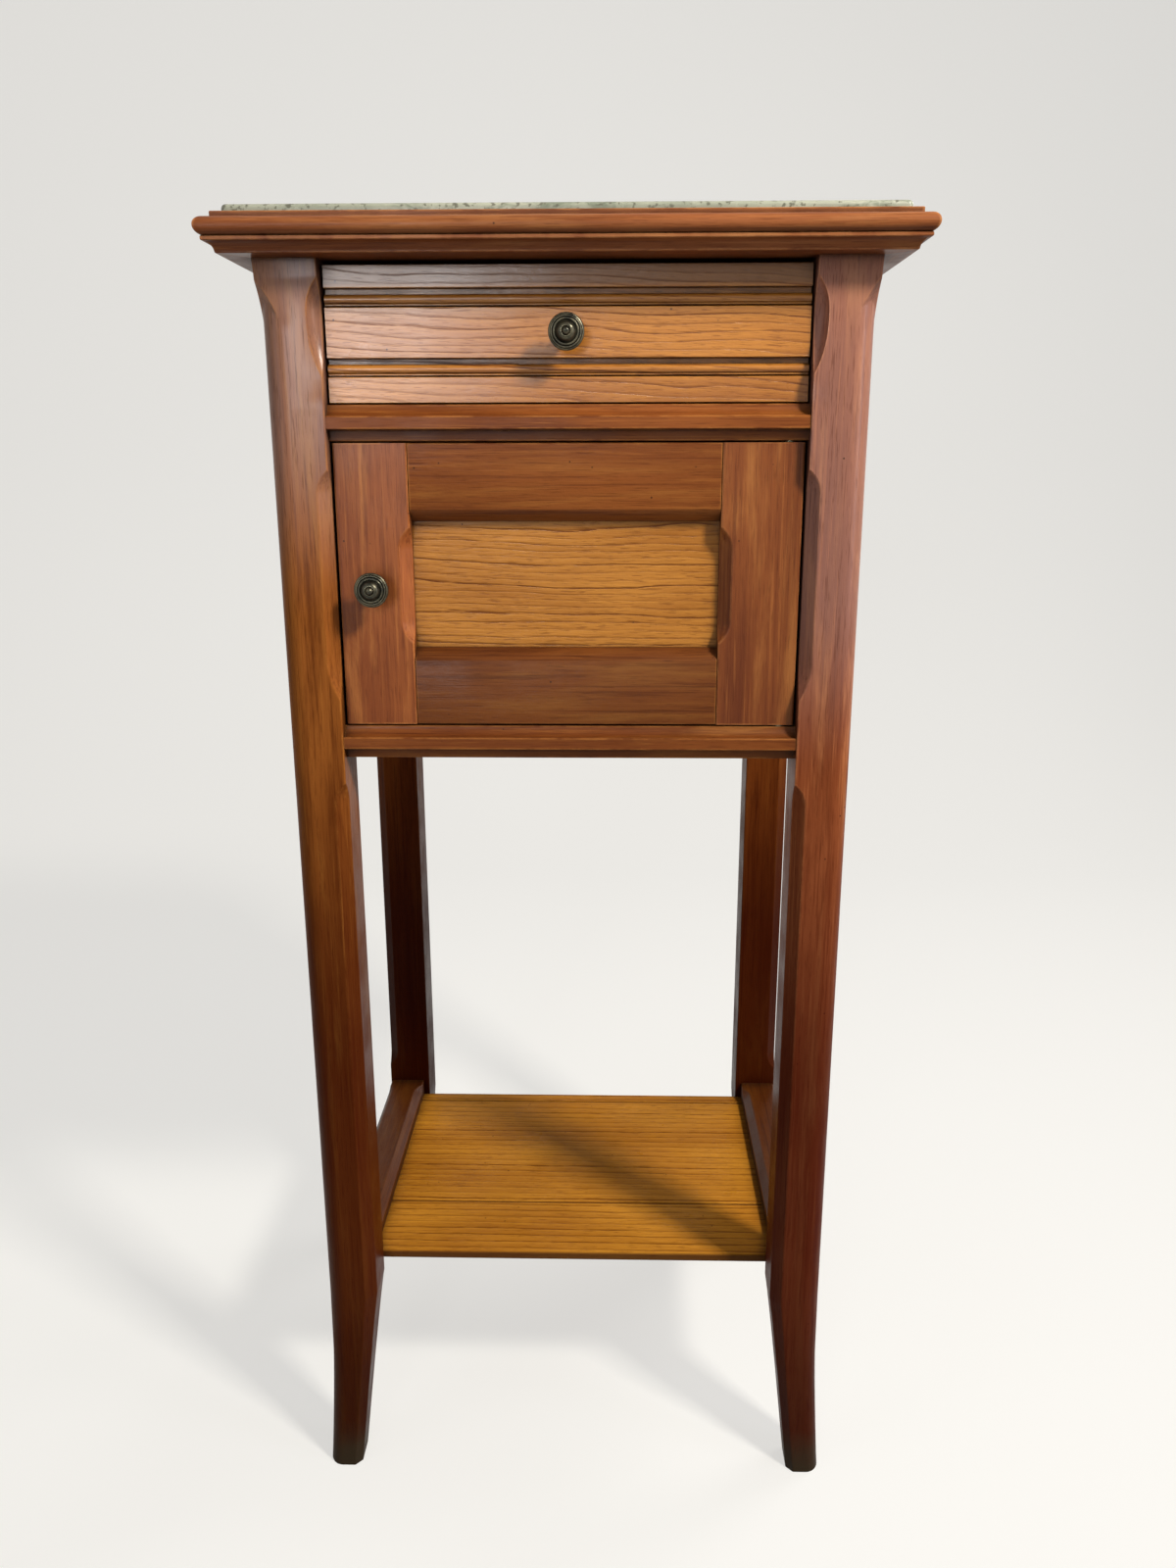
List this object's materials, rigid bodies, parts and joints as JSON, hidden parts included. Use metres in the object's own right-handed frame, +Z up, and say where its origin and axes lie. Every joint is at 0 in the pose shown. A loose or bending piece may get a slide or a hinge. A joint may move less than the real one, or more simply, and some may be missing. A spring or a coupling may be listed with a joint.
{
  "type": "bedside cupboard",
  "caption": "Tall narrow bedside cupboard with a marble top, a moulded drawer, a panelled door with a knob and a low open shelf between splayed legs.",
  "frame": {"origin": "on the floor, under the centre of the bounding box", "axes": "+Z up, -Y towards the front with the drawer and door, +X to the right seen from the front"},
  "size_m": [0.4, 0.32, 0.85],
  "materials": {
    "red_hardwood": "polished reddish-brown hardwood",
    "golden_ash": "polished golden open-grained wood with dark growth rings",
    "pale_softwood": "unpolished pale wood inside the case",
    "marble": "polished grey-green veined marble",
    "aged_brass": "dark aged brass",
    "steel": "plain steel"
  },
  "bodies": {
    "cupboard": {"marble_top": "marble", "top_frame_front": "red_hardwood", "top_frame_left": "red_hardwood", "top_frame_right": "red_hardwood", "top_frame_back": "red_hardwood", "leg_front_left": "red_hardwood", "leg_front_right": "red_hardwood", "leg_rear_left": "red_hardwood", "leg_rear_right": "red_hardwood", "drawer_rail": "red_hardwood", "bottom_rail": "red_hardwood", "side_rail_top_left": "red_hardwood", "side_rail_top_right": "red_hardwood", "side_rail_bottom_left": "red_hardwood", "side_rail_bottom_right": "red_hardwood", "back_rail_top": "red_hardwood", "back_rail_bottom": "red_hardwood", "side_panel_left": "golden_ash", "side_panel_right": "golden_ash", "back_panel": "pale_softwood", "cupboard_floor": "pale_softwood", "floor_cleats": "pale_softwood", "dust_board": "pale_softwood", "drawer_runner_left": "pale_softwood", "drawer_runner_right": "pale_softwood", "drawer_guide_left": "pale_softwood", "drawer_guide_right": "pale_softwood", "kicker_left": "pale_softwood", "kicker_right": "pale_softwood", "drawer_stops": "pale_softwood", "door_stop": "red_hardwood", "frame_screws": "steel", "stretcher_left": "red_hardwood", "stretcher_right": "red_hardwood", "shelf_board_front": "golden_ash", "shelf_board_middle": "golden_ash", "shelf_board_back": "golden_ash", "pivot_pins": "aged_brass", "pivot_screws_case": "aged_brass", "strike_plate": "aged_brass", "strike_screws": "aged_brass"},
    "drawer": {"drawer_front": "golden_ash", "drawer_side_left": "pale_softwood", "drawer_side_right": "pale_softwood", "drawer_back": "pale_softwood", "drawer_bottom": "pale_softwood", "drawer_knob": "aged_brass", "drawer_knob_nut": "aged_brass"},
    "door": {"door_stile_knob": "red_hardwood", "door_stile_pivot": "red_hardwood", "door_rail_top": "red_hardwood", "door_rail_bottom": "red_hardwood", "door_panel": "golden_ash", "door_knob": "aged_brass", "door_knob_nut": "aged_brass", "pivot_sockets": "aged_brass", "pivot_screws_door": "aged_brass", "catch_case": "aged_brass", "catch_spring": "steel"},
    "catch_ball": {"catch_ball": "steel"}
  },
  "joints": [
    {"name": "drawer_slide", "type": "slide", "parent": "cupboard", "child": "drawer", "axis": [0, -1, 0], "range_m": [0, 0.18]},
    {"name": "door_hinge", "type": "hinge", "parent": "cupboard", "child": "door", "pos_m": [0.1295, -0.1235, 0.641], "axis": [0, 0, 1], "range_deg": [0, 105]},
    {"name": "catch_ball_slide", "type": "slide", "parent": "door", "child": "catch_ball", "axis": [1, 0, 0], "range_m": [0, 0.001], "stiffness_N_per_m": 500, "springref_m": -0.004, "deforming": ["catch_spring"]}
  ]
}
